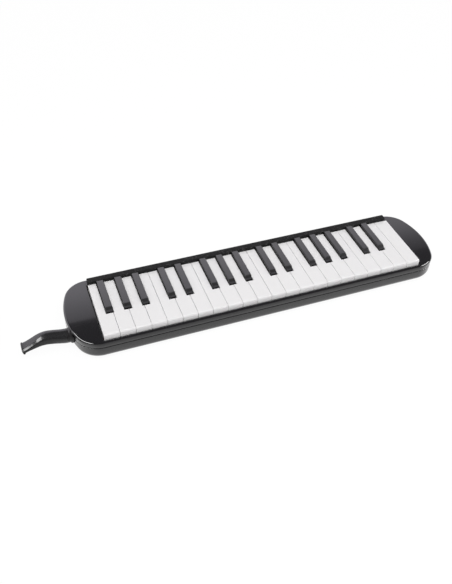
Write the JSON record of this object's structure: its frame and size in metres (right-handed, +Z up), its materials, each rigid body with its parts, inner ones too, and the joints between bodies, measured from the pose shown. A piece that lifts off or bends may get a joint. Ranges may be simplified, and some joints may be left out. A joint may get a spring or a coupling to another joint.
{
  "type": "melodica",
  "caption": "Flat wind keyboard with rounded ends, a full row of sprung piano keys over a reed chest, and a plug-in bent mouthpiece.",
  "frame": {"origin": "centre of the case's flat underside", "axes": "+X along the keyboard towards the treble end, +Y from the key fronts to the back, +Z up"},
  "size_m": [0.4737, 0.096, 0.0332],
  "materials": {
    "case_upper": "high-gloss black",
    "case_lower": "satin black",
    "strip": "coarse grain, black",
    "bed": "moulded, black",
    "steel": "drawn rod",
    "comb": "moulded, dark grey",
    "spring_steel": "spring strip",
    "felt": "red felt",
    "brass": "rolled plate",
    "reed_brass": "ground tongues",
    "chest": "moulded, grey-black",
    "gasket": "soft",
    "screw_steel": "blackened",
    "socket": "black",
    "mouthpiece": "black",
    "drain_button": "black",
    "drain_valve": "soft",
    "key_white": "white",
    "key_black": "black, satin"
  },
  "bodies": {
    "case": {"lower_case": "case_lower", "upper_case": "case_upper", "rear_strip": "strip", "key_bed": "bed", "pivot_rod": "steel", "guide_comb": "comb", "key_springs": "spring_steel", "stop_felt": "felt", "reed_plate_low": "brass", "reed_plate_high": "brass", "reeds": "reed_brass", "wind_chest": "chest", "chest_gasket": "gasket", "chest_screws": "screw_steel", "case_screws": "screw_steel", "mouthpiece_socket": "socket", "duct_seal": "gasket", "air_duct": "chest", "drain_spring": "spring_steel"},
    "key_f3": {"key_f3": "key_white"},
    "key_f_sharp_3": {"key_f_sharp_3": "key_black"},
    "key_g3": {"key_g3": "key_white"},
    "key_g_sharp_3": {"key_g_sharp_3": "key_black"},
    "key_a3": {"key_a3": "key_white"},
    "key_a_sharp_3": {"key_a_sharp_3": "key_black"},
    "key_b3": {"key_b3": "key_white"},
    "key_c4": {"key_c4": "key_white"},
    "key_c_sharp_4": {"key_c_sharp_4": "key_black"},
    "key_d4": {"key_d4": "key_white"},
    "key_d_sharp_4": {"key_d_sharp_4": "key_black"},
    "key_e4": {"key_e4": "key_white"},
    "key_f4": {"key_f4": "key_white"},
    "key_f_sharp_4": {"key_f_sharp_4": "key_black"},
    "key_g4": {"key_g4": "key_white"},
    "key_g_sharp_4": {"key_g_sharp_4": "key_black"},
    "key_a4": {"key_a4": "key_white"},
    "key_a_sharp_4": {"key_a_sharp_4": "key_black"},
    "key_b4": {"key_b4": "key_white"},
    "key_c5": {"key_c5": "key_white"},
    "key_c_sharp_5": {"key_c_sharp_5": "key_black"},
    "key_d5": {"key_d5": "key_white"},
    "key_d_sharp_5": {"key_d_sharp_5": "key_black"},
    "key_e5": {"key_e5": "key_white"},
    "key_f5": {"key_f5": "key_white"},
    "key_f_sharp_5": {"key_f_sharp_5": "key_black"},
    "key_g5": {"key_g5": "key_white"},
    "key_g_sharp_5": {"key_g_sharp_5": "key_black"},
    "key_a5": {"key_a5": "key_white"},
    "key_a_sharp_5": {"key_a_sharp_5": "key_black"},
    "key_b5": {"key_b5": "key_white"},
    "key_c6": {"key_c6": "key_white"},
    "key_c_sharp_6": {"key_c_sharp_6": "key_black"},
    "key_d6": {"key_d6": "key_white"},
    "key_d_sharp_6": {"key_d_sharp_6": "key_black"},
    "key_e6": {"key_e6": "key_white"},
    "key_f6": {"key_f6": "key_white"},
    "mouthpiece": {"mouthpiece": "mouthpiece"},
    "drain": {"drain_button": "drain_button", "drain_valve": "drain_valve"}
  },
  "joints": [
    {"name": "key_f3_hinge", "type": "hinge", "parent": "case", "child": "key_f3", "pos_m": [-0.1768, 0.01, 0.02], "axis": [1, 0, 0], "range_deg": [0, 4.2], "stiffness_Nm_per_rad": 0.15, "springref_deg": -11.46, "deforming": ["key_springs"]},
    {"name": "key_f_sharp_3_hinge", "type": "hinge", "parent": "case", "child": "key_f_sharp_3", "pos_m": [-0.16723, 0.01, 0.02], "axis": [1, 0, 0], "range_deg": [0, 4.2], "stiffness_Nm_per_rad": 0.15, "springref_deg": -11.46},
    {"name": "key_g3_hinge", "type": "hinge", "parent": "case", "child": "key_g3", "pos_m": [-0.15767, 0.01, 0.02], "axis": [1, 0, 0], "range_deg": [0, 4.2], "stiffness_Nm_per_rad": 0.15, "springref_deg": -11.46},
    {"name": "key_g_sharp_3_hinge", "type": "hinge", "parent": "case", "child": "key_g_sharp_3", "pos_m": [-0.1481, 0.01, 0.02], "axis": [1, 0, 0], "range_deg": [0, 4.2], "stiffness_Nm_per_rad": 0.15, "springref_deg": -11.46},
    {"name": "key_a3_hinge", "type": "hinge", "parent": "case", "child": "key_a3", "pos_m": [-0.13853, 0.01, 0.02], "axis": [1, 0, 0], "range_deg": [0, 4.2], "stiffness_Nm_per_rad": 0.15, "springref_deg": -11.46},
    {"name": "key_a_sharp_3_hinge", "type": "hinge", "parent": "case", "child": "key_a_sharp_3", "pos_m": [-0.12896, 0.01, 0.02], "axis": [1, 0, 0], "range_deg": [0, 4.2], "stiffness_Nm_per_rad": 0.15, "springref_deg": -11.46},
    {"name": "key_b3_hinge", "type": "hinge", "parent": "case", "child": "key_b3", "pos_m": [-0.1194, 0.01, 0.02], "axis": [1, 0, 0], "range_deg": [0, 4.2], "stiffness_Nm_per_rad": 0.15, "springref_deg": -11.46},
    {"name": "key_c4_hinge", "type": "hinge", "parent": "case", "child": "key_c4", "pos_m": [-0.10983, 0.01, 0.02], "axis": [1, 0, 0], "range_deg": [0, 4.2], "stiffness_Nm_per_rad": 0.15, "springref_deg": -11.46},
    {"name": "key_c_sharp_4_hinge", "type": "hinge", "parent": "case", "child": "key_c_sharp_4", "pos_m": [-0.10026, 0.01, 0.02], "axis": [1, 0, 0], "range_deg": [0, 4.2], "stiffness_Nm_per_rad": 0.15, "springref_deg": -11.46},
    {"name": "key_d4_hinge", "type": "hinge", "parent": "case", "child": "key_d4", "pos_m": [-0.0907, 0.01, 0.02], "axis": [1, 0, 0], "range_deg": [0, 4.2], "stiffness_Nm_per_rad": 0.15, "springref_deg": -11.46},
    {"name": "key_d_sharp_4_hinge", "type": "hinge", "parent": "case", "child": "key_d_sharp_4", "pos_m": [-0.08113, 0.01, 0.02], "axis": [1, 0, 0], "range_deg": [0, 4.2], "stiffness_Nm_per_rad": 0.15, "springref_deg": -11.46},
    {"name": "key_e4_hinge", "type": "hinge", "parent": "case", "child": "key_e4", "pos_m": [-0.07156, 0.01, 0.02], "axis": [1, 0, 0], "range_deg": [0, 4.2], "stiffness_Nm_per_rad": 0.15, "springref_deg": -11.46},
    {"name": "key_f4_hinge", "type": "hinge", "parent": "case", "child": "key_f4", "pos_m": [-0.062, 0.01, 0.02], "axis": [1, 0, 0], "range_deg": [0, 4.2], "stiffness_Nm_per_rad": 0.15, "springref_deg": -11.46},
    {"name": "key_f_sharp_4_hinge", "type": "hinge", "parent": "case", "child": "key_f_sharp_4", "pos_m": [-0.05243, 0.01, 0.02], "axis": [1, 0, 0], "range_deg": [0, 4.2], "stiffness_Nm_per_rad": 0.15, "springref_deg": -11.46},
    {"name": "key_g4_hinge", "type": "hinge", "parent": "case", "child": "key_g4", "pos_m": [-0.04286, 0.01, 0.02], "axis": [1, 0, 0], "range_deg": [0, 4.2], "stiffness_Nm_per_rad": 0.15, "springref_deg": -11.46},
    {"name": "key_g_sharp_4_hinge", "type": "hinge", "parent": "case", "child": "key_g_sharp_4", "pos_m": [-0.03329, 0.01, 0.02], "axis": [1, 0, 0], "range_deg": [0, 4.2], "stiffness_Nm_per_rad": 0.15, "springref_deg": -11.46},
    {"name": "key_a4_hinge", "type": "hinge", "parent": "case", "child": "key_a4", "pos_m": [-0.02373, 0.01, 0.02], "axis": [1, 0, 0], "range_deg": [0, 4.2], "stiffness_Nm_per_rad": 0.15, "springref_deg": -11.46},
    {"name": "key_a_sharp_4_hinge", "type": "hinge", "parent": "case", "child": "key_a_sharp_4", "pos_m": [-0.01416, 0.01, 0.02], "axis": [1, 0, 0], "range_deg": [0, 4.2], "stiffness_Nm_per_rad": 0.15, "springref_deg": -11.46},
    {"name": "key_b4_hinge", "type": "hinge", "parent": "case", "child": "key_b4", "pos_m": [-0.00459, 0.01, 0.02], "axis": [1, 0, 0], "range_deg": [0, 4.2], "stiffness_Nm_per_rad": 0.15, "springref_deg": -11.46},
    {"name": "key_c5_hinge", "type": "hinge", "parent": "case", "child": "key_c5", "pos_m": [0.00497, 0.01, 0.02], "axis": [1, 0, 0], "range_deg": [0, 4.2], "stiffness_Nm_per_rad": 0.15, "springref_deg": -11.46},
    {"name": "key_c_sharp_5_hinge", "type": "hinge", "parent": "case", "child": "key_c_sharp_5", "pos_m": [0.01454, 0.01, 0.02], "axis": [1, 0, 0], "range_deg": [0, 4.2], "stiffness_Nm_per_rad": 0.15, "springref_deg": -11.46},
    {"name": "key_d5_hinge", "type": "hinge", "parent": "case", "child": "key_d5", "pos_m": [0.02411, 0.01, 0.02], "axis": [1, 0, 0], "range_deg": [0, 4.2], "stiffness_Nm_per_rad": 0.15, "springref_deg": -11.46},
    {"name": "key_d_sharp_5_hinge", "type": "hinge", "parent": "case", "child": "key_d_sharp_5", "pos_m": [0.03367, 0.01, 0.02], "axis": [1, 0, 0], "range_deg": [0, 4.2], "stiffness_Nm_per_rad": 0.15, "springref_deg": -11.46},
    {"name": "key_e5_hinge", "type": "hinge", "parent": "case", "child": "key_e5", "pos_m": [0.04324, 0.01, 0.02], "axis": [1, 0, 0], "range_deg": [0, 4.2], "stiffness_Nm_per_rad": 0.15, "springref_deg": -11.46},
    {"name": "key_f5_hinge", "type": "hinge", "parent": "case", "child": "key_f5", "pos_m": [0.05281, 0.01, 0.02], "axis": [1, 0, 0], "range_deg": [0, 4.2], "stiffness_Nm_per_rad": 0.15, "springref_deg": -11.46},
    {"name": "key_f_sharp_5_hinge", "type": "hinge", "parent": "case", "child": "key_f_sharp_5", "pos_m": [0.06237, 0.01, 0.02], "axis": [1, 0, 0], "range_deg": [0, 4.2], "stiffness_Nm_per_rad": 0.15, "springref_deg": -11.46},
    {"name": "key_g5_hinge", "type": "hinge", "parent": "case", "child": "key_g5", "pos_m": [0.07194, 0.01, 0.02], "axis": [1, 0, 0], "range_deg": [0, 4.2], "stiffness_Nm_per_rad": 0.15, "springref_deg": -11.46},
    {"name": "key_g_sharp_5_hinge", "type": "hinge", "parent": "case", "child": "key_g_sharp_5", "pos_m": [0.08151, 0.01, 0.02], "axis": [1, 0, 0], "range_deg": [0, 4.2], "stiffness_Nm_per_rad": 0.15, "springref_deg": -11.46},
    {"name": "key_a5_hinge", "type": "hinge", "parent": "case", "child": "key_a5", "pos_m": [0.09108, 0.01, 0.02], "axis": [1, 0, 0], "range_deg": [0, 4.2], "stiffness_Nm_per_rad": 0.15, "springref_deg": -11.46},
    {"name": "key_a_sharp_5_hinge", "type": "hinge", "parent": "case", "child": "key_a_sharp_5", "pos_m": [0.10064, 0.01, 0.02], "axis": [1, 0, 0], "range_deg": [0, 4.2], "stiffness_Nm_per_rad": 0.15, "springref_deg": -11.46},
    {"name": "key_b5_hinge", "type": "hinge", "parent": "case", "child": "key_b5", "pos_m": [0.11021, 0.01, 0.02], "axis": [1, 0, 0], "range_deg": [0, 4.2], "stiffness_Nm_per_rad": 0.15, "springref_deg": -11.46},
    {"name": "key_c6_hinge", "type": "hinge", "parent": "case", "child": "key_c6", "pos_m": [0.11978, 0.01, 0.02], "axis": [1, 0, 0], "range_deg": [0, 4.2], "stiffness_Nm_per_rad": 0.15, "springref_deg": -11.46},
    {"name": "key_c_sharp_6_hinge", "type": "hinge", "parent": "case", "child": "key_c_sharp_6", "pos_m": [0.12934, 0.01, 0.02], "axis": [1, 0, 0], "range_deg": [0, 4.2], "stiffness_Nm_per_rad": 0.15, "springref_deg": -11.46},
    {"name": "key_d6_hinge", "type": "hinge", "parent": "case", "child": "key_d6", "pos_m": [0.13891, 0.01, 0.02], "axis": [1, 0, 0], "range_deg": [0, 4.2], "stiffness_Nm_per_rad": 0.15, "springref_deg": -11.46},
    {"name": "key_d_sharp_6_hinge", "type": "hinge", "parent": "case", "child": "key_d_sharp_6", "pos_m": [0.14848, 0.01, 0.02], "axis": [1, 0, 0], "range_deg": [0, 4.2], "stiffness_Nm_per_rad": 0.15, "springref_deg": -11.46},
    {"name": "key_e6_hinge", "type": "hinge", "parent": "case", "child": "key_e6", "pos_m": [0.15804, 0.01, 0.02], "axis": [1, 0, 0], "range_deg": [0, 4.2], "stiffness_Nm_per_rad": 0.15, "springref_deg": -11.46},
    {"name": "key_f6_hinge", "type": "hinge", "parent": "case", "child": "key_f6", "pos_m": [0.16761, 0.01, 0.02], "axis": [1, 0, 0], "range_deg": [0, 4.2], "stiffness_Nm_per_rad": 0.15, "springref_deg": -11.46},
    {"name": "mouthpiece_slide", "type": "slide", "parent": "case", "child": "mouthpiece", "axis": [-1, 0, 0], "range_m": [0, 0.016]},
    {"name": "drain_slide", "type": "slide", "parent": "case", "child": "drain", "axis": [-1, 0, 0], "range_m": [0, 0.002], "stiffness_N_per_m": 300, "springref_m": -0.003, "deforming": ["drain_spring"]}
  ]
}
